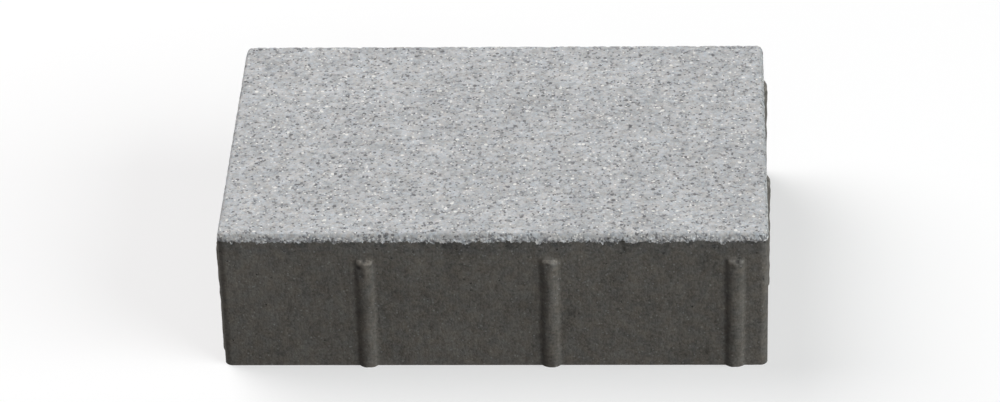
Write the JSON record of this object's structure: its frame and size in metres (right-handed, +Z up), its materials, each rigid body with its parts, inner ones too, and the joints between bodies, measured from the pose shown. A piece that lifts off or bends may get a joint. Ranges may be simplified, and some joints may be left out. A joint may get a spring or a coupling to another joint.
{
  "type": "concrete paving stone",
  "caption": "Solid rectangular concrete paving stone with a flat fine-grained walking face and rounded spacer ribs on its four sides.",
  "frame": {"origin": "centre of the bedding face, on which the stone lies", "axes": "+X along the stone's length, +Y along its width towards the side away from the camera, +Z up out of the walking face"},
  "size_m": [0.2114, 0.1414, 0.06],
  "materials": {
    "concrete": "matte"
  },
  "bodies": {
    "root": {"paving_stone": "concrete"}
  },
  "joints": []
}
